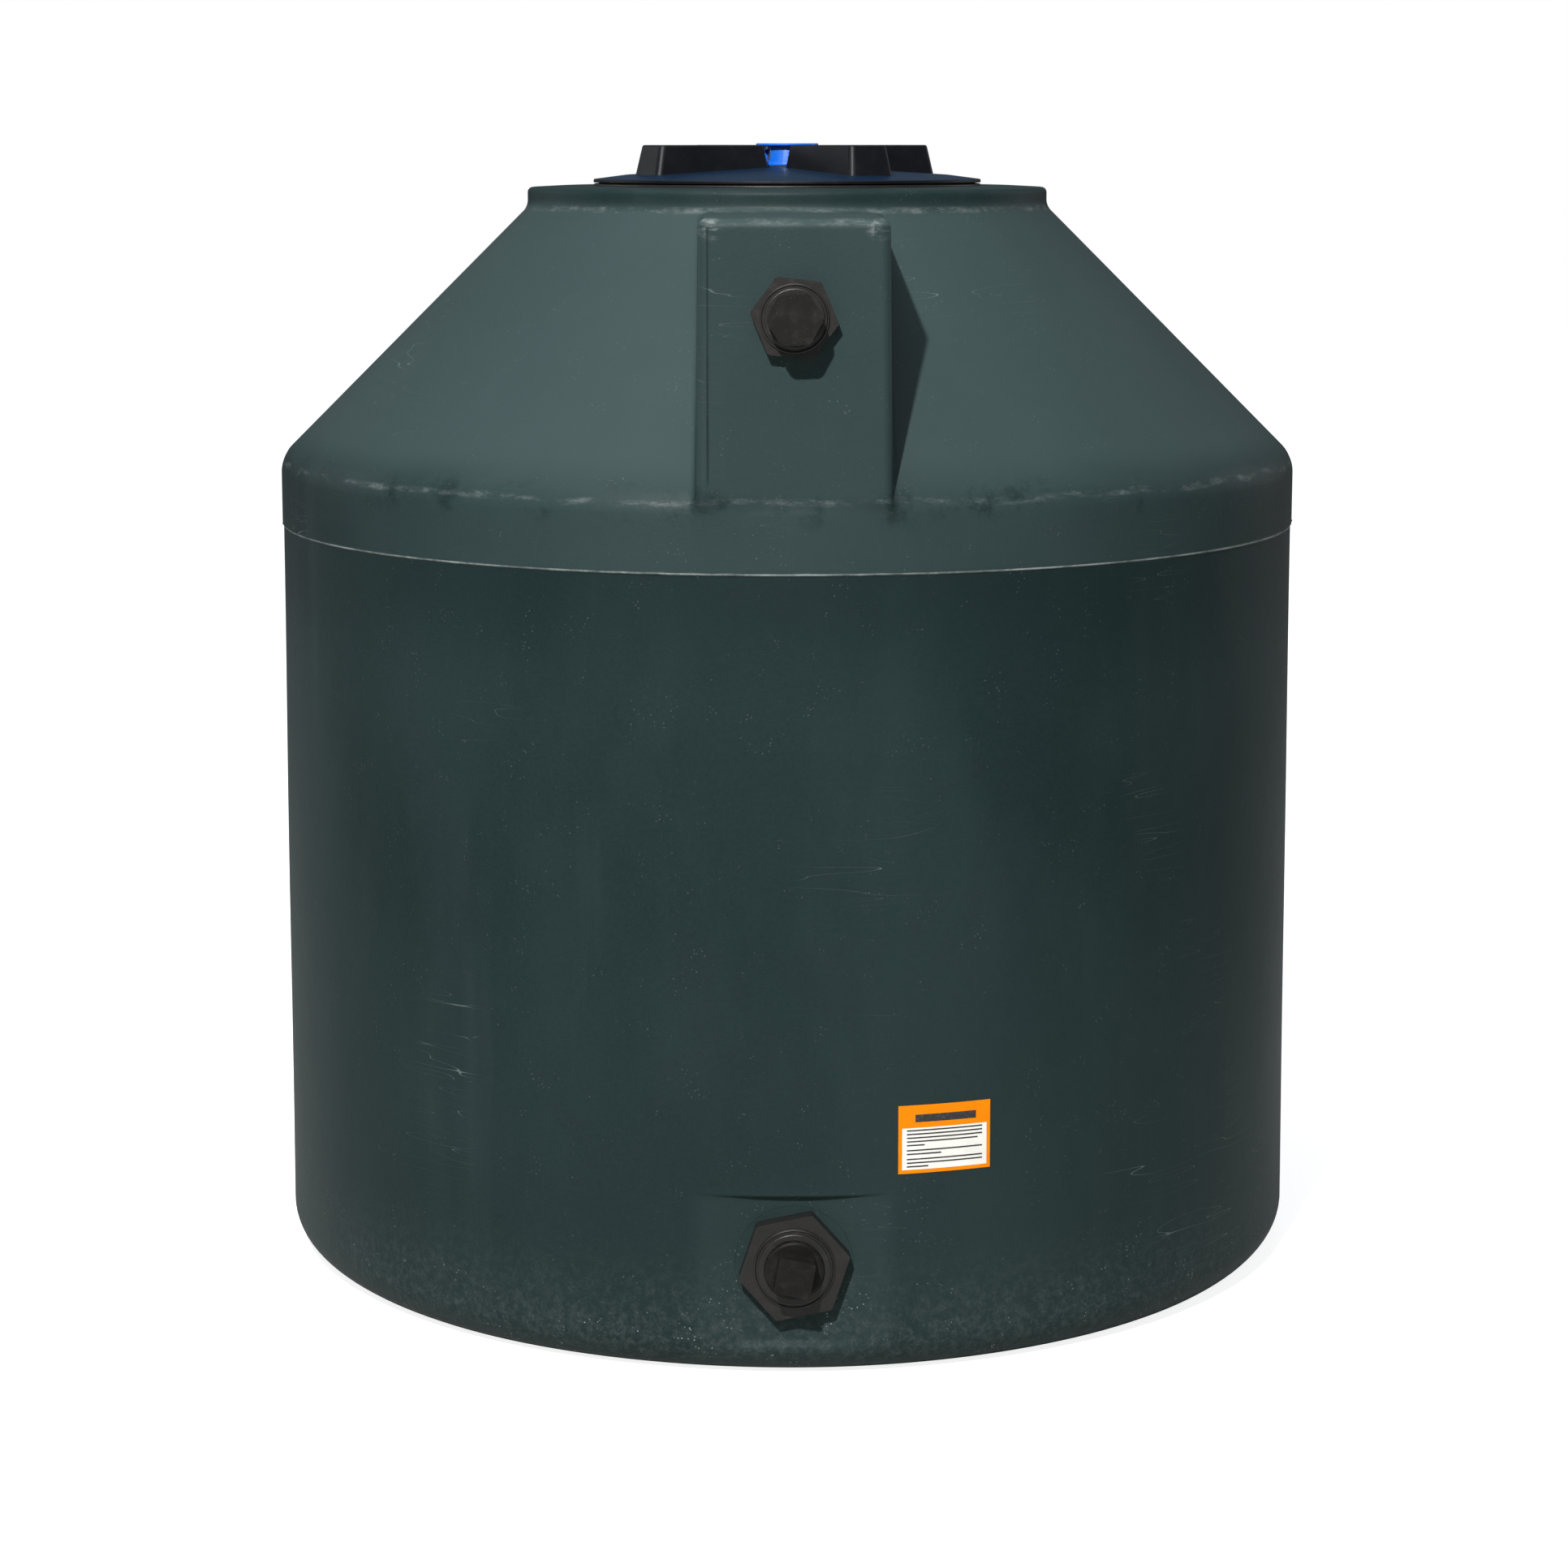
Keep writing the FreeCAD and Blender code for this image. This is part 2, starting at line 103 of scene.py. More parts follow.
# ---------------------------------------------------------------- materials
class Paint:
    """A Principled material, with short calls for the nodes that colour it."""

    def __init__(self, name, color, roughness, **sockets):
        self.material = bpy.data.materials.new(name)
        self.material.use_nodes = True
        self.nodes = self.material.node_tree.nodes
        self.links = self.material.node_tree.links
        self.shader = self.nodes["Principled BSDF"]
        self.place = self.nodes.new("ShaderNodeTexCoord").outputs["Object"]
        self.feed(self.shader.inputs["Base Color"], color)
        self.feed(self.shader.inputs["Roughness"], roughness)
        for key, value in sockets.items():
            self.feed(self.shader.inputs[key.replace("_", " ")], value)

    def feed(self, socket, value):
        """Link a socket, or set its constant."""
        if isinstance(value, bpy.types.NodeSocket):
            self.links.new(value, socket)
        elif isinstance(value, tuple) and len(value) == 3 and socket.type == "RGBA":
            socket.default_value = (*value, 1.0)
        else:
            socket.default_value = value

    def add(self, kind, out, settings=None, **values):
        """One node, its settings and its inputs; returns the named output."""
        node = self.nodes.new("ShaderNode" + kind)
        for key, value in (settings or {}).items():
            setattr(node, key, value)
        for key, value in values.items():
            self.feed(node.inputs[key.replace("_", " ")], value)
        return node.outputs[out]

    def math(self, operation, a, b=0.0, clamp=False):
        node = self.nodes.new("ShaderNodeMath")
        node.operation = operation
        node.use_clamp = clamp
        self.feed(node.inputs[0], a)
        self.feed(node.inputs[1], b)
        return node.outputs[0]

    def times(self, first, *others):
        """Product of masks and numbers."""
        for other in others:
            first = self.math("MULTIPLY", first, other)
        return first

    def off(self, value, centre):
        """Distance of a value from a centre."""
        return self.math("ABSOLUTE", self.math("SUBTRACT", value, centre))

    def reach(self, a, b):
        """Length of the vector (a, b)."""
        return self.math("SQRT", self.math("ADD", self.math("POWER", a, 2.0), self.math("POWER", b, 2.0)))

    def axis(self, name):
        """One coordinate of the surface point, in metres."""
        return self.add("SeparateXYZ", name, Vector=self.place)

    def facing_up(self):
        """How much the surface faces up, 1 where it is level and on top."""
        return self.add("SeparateXYZ", "Z", Vector=self.add("NewGeometry", "Normal"))

    def cells(self, scale):
        """Distance to the nearest of many scattered points."""
        return self.add("TexVoronoi", "Distance", Vector=self.place, Scale=scale)

    def stretched(self, x, y, z):
        """The surface point with its axes scaled."""
        return self.add("Mapping", "Vector", Vector=self.place, Scale=(x, y, z))

    def noise(self, scale, detail=2.0, place=None, rough=0.5):
        vector = self.place if place is None else place
        return self.add("TexNoise", "Fac", Vector=vector, Scale=scale, Detail=detail, Roughness=rough)

    def fade(self, value, start, end):
        """0 at start and 1 at end, smoothly."""
        settings = {"interpolation_type": "SMOOTHSTEP"}
        return self.add("MapRange", "Result", settings, Value=value, From_Min=start, From_Max=end)

    def scaled(self, value, low, high):
        """0..1 spread to low..high."""
        return self.add("MapRange", "Result", Value=value, To_Min=low, To_Max=high)

    def mix(self, factor, a, b):
        """Blend of two colours."""
        node = self.nodes.new("ShaderNodeMix")
        node.data_type = "RGBA"
        self.feed(node.inputs["Factor"], factor)
        self.feed(node.inputs[6], a)
        self.feed(node.inputs[7], b)
        return node.outputs[2]

    def color(self, value):
        self.feed(self.shader.inputs["Base Color"], value)

    def roughness(self, value):
        self.feed(self.shader.inputs["Roughness"], value)

    def bump(self, height, distance, under=None):
        """Raise the surface by height times distance, in metres."""
        below = {} if under is None else {"Normal": under}
        normal = self.add("Bump", "Normal", Height=height, Distance=distance, Strength=1.0, **below)
        self.feed(self.shader.inputs["Normal"], normal)
        return normal


TANK_DARK = (0.0066, 0.0155, 0.0156)
TANK_MID = (0.0092, 0.0200, 0.0201)
# The deep colour is also the painted shade under the parting line, on the band's sides and down the pad's
# crease.
TANK_DEEP = (0.0035, 0.0100, 0.0100)
# The chalk colour also paints light on the lower sides and on the roof.
CHALK_AND_PAINTED_LIGHT = (0.031, 0.0487, 0.0487)
FOOT_DUST = (0.085, 0.105, 0.102)
# The pale colour is also the painted highlight along the roof's corner and on the pad's top edge and
# corners.
PALE = (0.34, 0.37, 0.36)


def ring_line(p, z, radius, thick):
    """Thin circle scribed on the front, around a fitting's axis."""
    distance = p.reach(p.axis("X"), p.math("SUBTRACT", p.axis("Z"), z))
    line = p.fade(p.off(distance, radius), thick, thick * 0.3)
    return p.times(line, p.fade(p.axis("Y"), -0.5, -0.52))


def tank_tone(p, z, side, mottle):
    """Broad colour: chalk above the parting line, heavier on the roof and partly painted sky light there;
    lighter round the flat and towards the bottom; painted light low on the sides; painted shade under the
    parting line and on the band's sides.
    """
    cloud = p.fade(p.noise(2.4, 4.0, rough=0.55), 0.3, 0.7)
    color = p.mix(cloud, TANK_DARK, TANK_MID)
    color = p.mix(p.times(mottle, 0.12), color, CHALK_AND_PAINTED_LIGHT)

    # Chalk on the band and roof, heavier where the surface faces up and towards the middle of front and
    # back; this lightening is partly real chalk and partly painted sky light.
    upper_half = p.times(p.fade(z, 838 * MM, 844 * MM), p.fade(z, 1212 * MM, 1200 * MM))
    spread = p.math("MAXIMUM", p.fade(side, 0.54, 0.26), p.fade(z, 0.90, 0.95))
    patchy = p.scaled(p.noise(6.0, 5.0), 0.30, 0.62)
    sloping = p.times(p.fade(p.facing_up(), 0.25, 0.6), p.fade(z, 0.91, 0.96))
    patchy = p.math("ADD", patchy, p.scaled(sloping, 0.0, 0.34), clamp=True)
    color = p.mix(p.times(upper_half, spread, patchy), color, CHALK_AND_PAINTED_LIGHT)

    around_flat = p.times(p.fade(side, 0.115, 0.085), p.fade(z, 205 * MM, 185 * MM))
    around_flat = p.times(around_flat, p.fade(p.axis("Y"), -0.5, -0.53))
    color = p.mix(p.times(around_flat, 0.22), color, CHALK_AND_PAINTED_LIGHT)
    # Lighter towards the bottom.
    color = p.mix(p.scaled(p.fade(z, 0.55, 0.12), 0.0, 0.12), color, CHALK_AND_PAINTED_LIGHT)
    weathered = p.fade(p.noise(4.5, 4.0, p.stretched(1.0, 1.0, 0.4), 0.6), 0.42, 0.68)
    color = p.mix(p.times(weathered, 0.16), color, CHALK_AND_PAINTED_LIGHT)
    # Painted light: lighter on the sides, low down.
    rim = p.times(p.fade(side, 0.47, 0.54), p.fade(z, 0.80, 0.70))
    color = p.mix(p.times(rim, 0.20), color, CHALK_AND_PAINTED_LIGHT)

    # Painted shade: darker under the parting line, and on the band's sides.
    painted_shade_under_seam = p.times(p.fade(z, 0.68, 0.83), p.fade(z, 0.842, 0.838))
    color = p.mix(p.times(painted_shade_under_seam, 0.45), color, TANK_DEEP)
    painted_shade_band_ends = p.times(p.fade(z, 0.838, 0.844), p.fade(z, 0.925, 0.90), p.fade(side, 0.44, 0.56))
    return p.mix(p.times(painted_shade_band_ends, 0.60), color, TANK_DEEP)


def pale_grains(p, z):
    """Scattered pale specks, more of them near the foot."""
    sparse = p.fade(p.noise(34.0, 3.0), 0.54, 0.68)
    near_foot = p.scaled(p.fade(z, 0.16, 0.01), 0.16, 1.0)
    return p.times(p.fade(p.cells(210.0), 0.21, 0.11), sparse, near_foot)


def fine_scratches(p):
    """Three sets of thin lines, each with its own lean, in patches."""
    scratch = 0.0
    for turn, scale in ((0.5, 2.3), (-0.9, 3.1), (1.45, 1.7)):
        lean = (turn, turn * 0.7, 0.4 * turn)
        tilted = p.add("Mapping", "Vector", Vector=p.place, Rotation=lean, Scale=(1.0, 1.0, 14.0))
        near = p.off(p.noise(scale * 2.0, 1.0, tilted), 0.5)
        patch = p.fade(p.noise(scale * 1.7, 2.0), 0.63, 0.72)
        scratch = p.math("MAXIMUM", scratch, p.times(p.fade(near, 0.0016, 0.0), patch))
    return scratch


def edge_scuffs_and_highlights(p, color, z, side, front):
    """Darker blotches round the roof's corner, and pale lines broken up by scuffs along the corner, at
    the collar's foot and on the pad's top edge; along the corner and the pad's top edge the pale lines
    are painted highlights.
    """
    # Darker blotches round the roof's corner.
    blotch = p.fade(p.noise(17.0, 7.0, rough=0.72), 0.50, 0.66)
    under_corner = p.fade(p.off(z, BAND_TOP_Z - 6 * MM), 30 * MM, 4 * MM)
    color = p.mix(p.times(blotch, under_corner, 0.6), color, TANK_DEEP)

    # Pale lines broken up by scuffs: painted highlights along the roof's corner and the pad's top edge, a
    # pale line at the collar's foot.
    scuff = p.fade(p.noise(24.0, 9.0, p.stretched(1.0, 1.0, 3.0), 0.8), 0.44, 0.74)
    wander = p.times(p.math("SUBTRACT", p.noise(9.0, 3.0), 0.5), 16 * MM)
    corner = p.fade(p.off(z, p.math("ADD", wander, BAND_TOP_Z - 2 * MM)), 5 * MM, 0.5 * MM)
    collar_foot = p.fade(p.off(z, COLLAR_FOOT_Z), 5 * MM, 1 * MM)
    collar_foot = p.times(collar_foot, p.fade(p.reach(side, p.axis("Y")), 0.325, 0.310))
    shelf = p.fade(p.off(z, PAD_TOP - PAD_ROUND / 3), 7 * MM, 1 * MM)
    scuffed_and_highlit = p.math("MAXIMUM", corner, p.math("MAXIMUM", collar_foot, p.times(shelf, front)))
    return p.mix(p.times(scuffed_and_highlit, scuff, 0.26), color, PALE)


def pad_painted_light(p, color, z, side, front, on_pad):
    """Painted highlights, wrinkled, at the pad's top corners, and painted shade down the crease on its
    left side.
    """
    across = p.math("SUBTRACT", side, PAD_HALF - 15 * MM)
    # Painted highlights at the pad's top corners.
    up = p.math("SUBTRACT", z, PAD_TOP - 9 * MM)
    wrinkle = p.fade(p.noise(60.0, 6.0, p.stretched(1.0, 1.0, 2.6), 0.65), 0.46, 0.66)
    wrinkle = p.times(p.fade(p.reach(across, up), 17 * MM, 4 * MM), wrinkle, front)
    color = p.mix(p.times(wrinkle, 0.30), color, PALE)

    # Painted shade down the crease on the pad's left side.
    uneven = p.scaled(p.noise(23.0, 4.0), 0.25, 1.0)
    crease = p.fade(p.off(p.axis("X"), 13 * MM - PAD_HALF), 2.0 * MM, 0.5 * MM)
    crease = p.times(crease, on_pad, uneven, p.fade(z, PAD_TOP - 6 * MM, PAD_TOP - 16 * MM))
    return p.mix(crease, color, TANK_DEEP)


def tank_plastic():
    """Dark green-grey rotomoulded polyethylene, with dust, scuffs and fine scratches, painted highlights
    on its edges and painted shade by the parting line.
    """
    p = Paint("tank_plastic", TANK_MID, 0.45, Specular_IOR_Level=0.09)
    z = p.axis("Z")
    side = p.math("ABSOLUTE", p.axis("X"))
    front = p.fade(p.axis("Y"), -0.56, -0.575)
    on_pad = p.times(front, p.fade(z, 0.925, 0.94))
    mottle = p.fade(p.noise(260.0, 6.0, rough=0.75), 0.32, 0.72)
    color = tank_tone(p, z, side, mottle)

    streak = p.fade(p.noise(14.0, 6.0, p.stretched(1.0, 1.0, 0.05), 0.6), 0.50, 0.76)
    patch = p.math("MAXIMUM", p.fade(p.noise(3.0, 3.0), 0.4, 0.7), on_pad)
    color = p.mix(p.times(streak, patch, 0.34), color, CHALK_AND_PAINTED_LIGHT)

    powder = p.fade(p.noise(120.0, 9.0, rough=0.88), 0.42, 0.72)
    foot_dust = p.times(p.fade(z, 0.16, 0.0), powder, 0.62)
    color = p.mix(foot_dust, color, FOOT_DUST)
    grain = pale_grains(p, z)
    color = p.mix(p.times(grain, 0.7), color, PALE)
    scratch = fine_scratches(p)
    color = p.mix(p.times(scratch, 0.3), color, PALE)

    scribed = ring_line(p, middle("lower_fitting_nut").z, 61 * MM, 0.7 * MM)
    rubbed = p.scaled(p.noise(40.0, 3.0), 0.1, 0.7)
    color = p.mix(p.times(scribed, rubbed), color, TANK_DEEP)
    color = edge_scuffs_and_highlights(p, color, z, side, front)
    color = pad_painted_light(p, color, z, side, front, on_pad)

    torn = p.scaled(p.fade(p.noise(24.0, 6.0, rough=0.7), 0.36, 0.66), 0.22, 0.85)
    flash = p.times(p.fade(p.off(z, SEAM_Z), 1.5 * MM, 0.4 * MM), torn)
    p.color(p.mix(p.times(flash, 0.8), color, PALE))

    shine = p.math("ADD", p.scaled(p.noise(5.0, 4.0), 0.40, 0.52), p.times(foot_dust, 0.4))
    p.roughness(p.math("ADD", shine, p.times(mottle, 0.04), clamp=True))
    soft = p.bump(p.noise(14.0, 3.0), 0.8 * MM)
    peel = p.bump(p.noise(330.0, 4.0), 0.22 * MM, soft)
    p.bump(p.math("SUBTRACT", grain, scratch), 0.08 * MM, peel)
    return p.material


def black_plastic(name, shade, roughness, dusty, gloss, grain=1500.0, depth=0.10, sky=None):
    """Moulded black plastic with a fine grain and a little dust.

    gloss is the specular level, depth the height of the grain in mm, and sky an optional
    painted reflection of the sky on the level top of the lid's dish.
    """
    p = Paint(name, shade, roughness, Specular_IOR_Level=gloss)
    grey = tuple(1.1 * c + 0.004 for c in shade)
    dust = (0.12, 0.11, 0.095)
    cloud = p.fade(p.noise(22.0, 4.0), 0.3, 0.75)
    color = p.mix(p.times(cloud, 0.5), shade, grey)
    if sky:
        # Painted reflection of the sky on the level top of the lid's dish, below the grips.
        below_grips = p.fade(p.axis("Z"), TINT_NONE_Z, TINT_FULL_Z)
        color = p.mix(p.times(p.fade(p.facing_up(), 0.8, 0.97), below_grips), color, sky)
    powder = p.fade(p.noise(70.0, 7.0, rough=0.75), 0.46, 0.8)
    color = p.mix(p.times(powder, dusty), color, dust)
    speck = p.times(p.fade(p.cells(520.0), 0.16, 0.08), p.fade(p.noise(60.0), 0.55, 0.66))
    p.color(p.mix(p.times(speck, min(1.0, dusty * 2.0)), color, (0.4, 0.39, 0.36)))
    p.roughness(p.scaled(p.noise(35.0, 4.0), roughness - 0.06, roughness + 0.12))
    broad = p.bump(p.noise(60.0, 2.0), 0.25 * MM)
    p.bump(p.noise(grain, 2.0), depth * MM, broad)
    return p.material


def blue_plastic():
    """Glossy blue moulded plastic of the breather."""
    p = Paint("vent_blue", (0.004, 0.105, 0.53), 0.3, Specular_IOR_Level=0.5, Coat_Weight=0.15)
    cloud = p.fade(p.noise(60.0, 4.0), 0.3, 0.75)
    powder = p.fade(p.noise(160.0, 6.0, rough=0.7), 0.5, 0.8)
    color = p.mix(p.times(cloud, 0.4), (0.004, 0.105, 0.53), (0.01, 0.15, 0.6))
    p.color(p.mix(p.times(powder, 0.12), color, (0.35, 0.4, 0.45)))
    p.roughness(p.scaled(p.noise(80.0, 4.0), 0.24, 0.42))
    p.bump(p.noise(500.0, 2.0), 0.04 * MM)
    return p.material


def rubber():
    """Black sponge rubber of the seals."""
    p = Paint("seal_rubber", (0.018, 0.018, 0.018), 0.8)
    p.color(p.mix(p.fade(p.noise(200.0, 4.0), 0.35, 0.7), (0.012, 0.012, 0.012), (0.03, 0.03, 0.029)))
    p.roughness(p.scaled(p.noise(300.0), 0.7, 0.92))
    p.bump(p.cells(900.0), 0.15 * MM)
    return p.material


def stainless():
    """Brushed stainless steel of the screws and the screen."""
    p = Paint("stainless", (0.55, 0.55, 0.53), 0.3, Metallic=1.0)
    brushed = p.noise(900.0, 3.0, p.stretched(1.0, 0.08, 1.0))
    p.color(p.mix(p.fade(brushed, 0.3, 0.7), (0.42, 0.42, 0.41), (0.62, 0.62, 0.6)))
    p.roughness(p.scaled(brushed, 0.22, 0.42))
    p.bump(brushed, 0.02 * MM)
    return p.material


def screen_mesh():
    """Woven stainless mesh of the breather's screen."""
    p = Paint("screen_mesh", (0.4, 0.4, 0.38), 0.4, Metallic=1.0)
    turn = p.math("ARCTAN2", p.axis("Y"), p.axis("X"))
    around = p.math("SINE", p.times(turn, 110.0))
    upward = p.math("SINE", p.times(p.axis("Z"), 4700.0))
    weave = p.times(around, upward)
    p.color(p.mix(p.fade(weave, -0.3, 0.5), (0.03, 0.03, 0.03), (0.5, 0.5, 0.48)))
    p.roughness(p.scaled(p.noise(400.0), 0.3, 0.5))
    p.bump(weave, 0.12 * MM)
    return p.material


def thread_tape():
    """White thread seal tape, slightly grubby."""
    p = Paint("thread_tape", (0.75, 0.75, 0.72), 0.55)
    grime = p.fade(p.noise(140.0, 5.0, rough=0.7), 0.45, 0.8)
    p.color(p.mix(p.times(grime, 0.5), (0.78, 0.78, 0.75), (0.4, 0.38, 0.33)))
    p.roughness(p.scaled(p.noise(300.0), 0.45, 0.65))
    p.bump(p.noise(700.0, 3.0), 0.08 * MM)
    return p.material


def vinyl(name, shade, dirt):
    """Printed vinyl of the label, a little faded and dusty."""
    p = Paint(name, shade, 0.42, Specular_IOR_Level=0.1)
    faded = tuple(0.93 * c for c in shade)
    color = p.mix(p.fade(p.noise(30.0, 4.0), 0.3, 0.75), shade, faded)
    powder = p.fade(p.noise(180.0, 7.0, rough=0.75), 0.48, 0.8)
    p.color(p.mix(p.times(powder, dirt), color, (0.3, 0.28, 0.24)))
    p.roughness(p.scaled(p.noise(90.0, 3.0), 0.3, 0.46))
    p.bump(p.noise(420.0, 3.0), 0.05 * MM)
    return p.material


# ---------------------------------------------------------------- mesh tools
def new_piece(name, vertices, faces, body, material, sharp_angle):
    """Mesh object that rides on a body and takes its finish from a slot."""
    mesh = bpy.data.meshes.new(name)
    mesh.from_pydata([tuple(map(float, v)) for v in vertices], [], faces)
    mesh.validate()
    piece = bpy.data.objects.new(name, mesh)
    bpy.context.scene.collection.objects.link(piece)
    mesh.materials.append(material)
    mesh.shade_smooth()
    mesh.set_sharp_from_angle(angle=math.radians(sharp_angle))
    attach(piece, body)
    return piece


def grid_faces(rows, columns):
    """Quads over a grid of rows by columns, closed round the columns."""
    faces = []
    for this in range(0, (rows - 1) * columns, columns):
        above = this + columns
        for j in range(columns):
            k = (j + 1) % columns
            faces.append((this + j, this + k, above + k, above + j))
    return faces


def paint_node(node, material):
    """Give a CAD node its material."""
    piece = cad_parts[node]
    piece.data.materials.clear()
    piece.data.materials.append(material)
    return piece


def soften(node, width, material):
    """Give a CAD node its material, and round its sharp edges with a modifier."""
    piece = paint_node(node, material)
    weld = piece.modifiers.new("weld", "WELD")
    weld.merge_threshold = 0.01 * MM
    bevel = piece.modifiers.new("round", "BEVEL")
    bevel.width = width
    bevel.segments = 3
    bevel.limit_method = "ANGLE"
    bevel.angle_limit = math.radians(35)
    bevel.harden_normals = True
    return piece


# ---------------------------------------------------------------- tank shell
def cut_round(a, b, r):
    """Distance to what two solids share, its edge rounded by r."""
    hollow = np.hypot(np.maximum(a + r, 0.0), np.maximum(b + r, 0.0))
    return np.minimum(-r, np.maximum(a, b)) + hollow


def join_round(a, b, r):
    """Distance to two solids together, their corner filled by r."""
    fill = np.hypot(np.maximum(r - a, 0.0), np.maximum(r - b, 0.0))
    return np.maximum(r, np.minimum(a, b)) - fill


def shell_distance(x, y, z, inner=False):
    """Signed distance to the tank's outside, negative inside.

    inner leaves out the side's waves and the flash line.
    """
    radius = np.hypot(x, y)
    turn = np.arctan2(x, -y)
    sag = 0.7 * MM * np.sin(2 * turn + 0.6) * np.sin(z * 4.2)
    sag += 0.45 * MM * np.sin(5 * turn + z * 6.0) + 0.3 * MM * np.sin(9 * turn - z * 11.0 + 1.0)
    label_off = np.hypot((turn - LABEL_TURN) * TANK_R, z - LABEL_Z)
    sag *= np.clip(label_off / LABEL_CLEAR - 1, 0, 1)
    step = BAND_STEP * (0.5 + 0.5 * np.tanh((z - SEAM_Z) / STEP_BLEND))
    side = radius - TANK_R - step
    if not inner:
        ragged = 0.75 + 0.35 * np.sin(31 * turn) * np.sin(13 * turn + 2) + 0.3 * np.sin(97 * turn)
        flash = np.clip(ragged, 0.15, 1.5) * np.exp(-(((z - SEAM_Z) / FLASH_OUT) ** 2))
        side = side - sag - FLASH_OUT * flash
    roof = (radius - BAND_R + z - BAND_TOP_Z) / math.sqrt(2) - 0.6 * sag
    body = cut_round(side, roof, BAND_ROUND)
    body = cut_round(body, -z, FOOT_ROUND)
    body = np.maximum(body, z - COLLAR_TOP)
    collar = cut_round(radius - COLLAR_R, z - COLLAR_TOP, COLLAR_ROUND)
    collar = np.maximum(collar, SEAM_Z - z)
    body = join_round(body, collar, COLLAR_FILLET)
    draft = PAD_DRAFT * (z - PAD_LOW)
    pad = cut_round(np.abs(x) - PAD_HALF + draft, -y - PAD_FACE, PAD_ROUND)
    pad = cut_round(pad, z - PAD_TOP, PAD_ROUND)
    foot = (-y - PAD_FACE + PAD_LOW - z) / math.sqrt(2)
    pad = cut_round(pad, foot, PAD_FOOT_ROUND)
    pad = np.maximum(pad, y + PAD_BACK)
    body = join_round(body, pad, PAD_FILLET)
    recess = np.maximum(np.maximum(FLAT_LOW - z, z - FLAT_HIGH), y + FLAT_FACE)
    return cut_round(body, -recess, FLAT_ROUND)


def spans(*stops):
    """Values through (value, count) stops, each stretch evenly divided."""
    values = [stops[0][0]]
    for (start, _), (end, count) in zip(stops, stops[1:]):
        values += [start + (end - start) * (i + 1) / count for i in range(count)]
    return values


def shell_rows(fine):
    """Ray starts (height on the axis) and elevations, from the foot up to the neck."""
    n = 3 if fine else 1
    rows = []
    for r in spans((30 * MM, 0), (500 * MM, 6), (536 * MM, 4)):
        rows.append((FOOT_FAN_Z, -math.atan2(FOOT_FAN_Z, r)))
    low = -math.atan2(FOOT_FAN_Z, 540 * MM)
    high = -math.atan2(FOOT_FAN_Z - FOOT_ROUND, TANK_R)
    for angle in spans((low, 0), (high, 5 * n))[:-1]:
        rows.append((FOOT_FAN_Z, angle))
    levels = [(FOOT_ROUND, 0), (188 * MM, 5 * n), (200 * MM, 3 * n), (834 * MM, 6 * n), (848 * MM, 6 * n)]
    for z in spans(*levels):
        rows.append((z, 0.0))

    def aim(r, z):
        return math.atan2(z - FAN_Z, r)

    stops = [
        (aim(BAND_R, SEAM_Z + 11 * MM), 0),
        (aim(BAND_R, 900 * MM), n),
        (aim(570 * MM, 935 * MM), 6 * n),
        (aim(PAD_FACE, 1180 * MM), 7 * n),
        (aim(560 * MM, 1199 * MM), 5 * n),
        (aim(COLLAR_R + 12 * MM, 1190 * MM), 8 * n),
        (aim(COLLAR_R, COLLAR_TOP - COLLAR_ROUND), 6 * n),
        (aim(COLLAR_R - COLLAR_ROUND, COLLAR_TOP), 4 * n),
        (aim(NECK_HOLE_R, COLLAR_TOP), n),
    ]
    for angle in spans(*stops):
        rows.append((FAN_Z, angle))
    return rows


def shell_columns():
    """Azimuths from the front, closer together across the pad and its side walls."""
    half = [(0.0, 0), (8.4, 14), (10.4, 20), (20.5, 56), (25.0, 8), (180.0, 78)]
    right = spans(*half)
    left = [-a for a in right[1:-1]]
    return np.radians(np.array(sorted(left) + right))


def shell_surface(fine, offset):
    """Points where the rays meet the surface moved in by offset, rows by columns by xyz."""
    rows = shell_rows(fine)
    turn = shell_columns()
    start = np.array([r[0] for r in rows])[:, None]
    rise = np.array([r[1] for r in rows])[:, None]
    out = np.cos(rise) * np.ones_like(turn)
    dx = out * np.sin(turn)
    dy = -out * np.cos(turn)
    dz = np.sin(rise) * np.ones_like(turn)
    near = np.full(dx.shape, 1 * MM)
    far = np.full(dx.shape, RAY_REACH)
    for _ in range(HALVINGS):
        mid = (near + far) / 2
        inside = shell_distance(dx * mid, dy * mid, start + dz * mid, offset > 0) + offset < 0
        near = np.where(inside, mid, near)
        far = np.where(inside, far, mid)
    return np.stack([dx * near, dy * near, start + dz * near], axis=-1)


def barrel_radius(node):
    """Radius of a fitting body's barrel, read at its outer end."""
    points = np.array([v.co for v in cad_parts[node].data.vertices])
    low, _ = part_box(node)
    outer = points[points[:, 1] < low.y + 2 * MM]
    return float(np.hypot(outer[:, 0], outer[:, 2] - middle(node).z).max())


def bore_cutter(node, y):
    """Cylinder that opens the shell where a fitting's barrel goes through."""
    radius = barrel_radius(node) + BORE_GAP
    bpy.ops.mesh.primitive_cylinder_add(vertices=96, radius=radius, depth=BORE_DEPTH)
    cutter = bpy.context.object
    cutter.rotation_euler = (math.pi / 2, 0, 0)
    cutter.location = (0, y, middle(node).z)
    return cutter


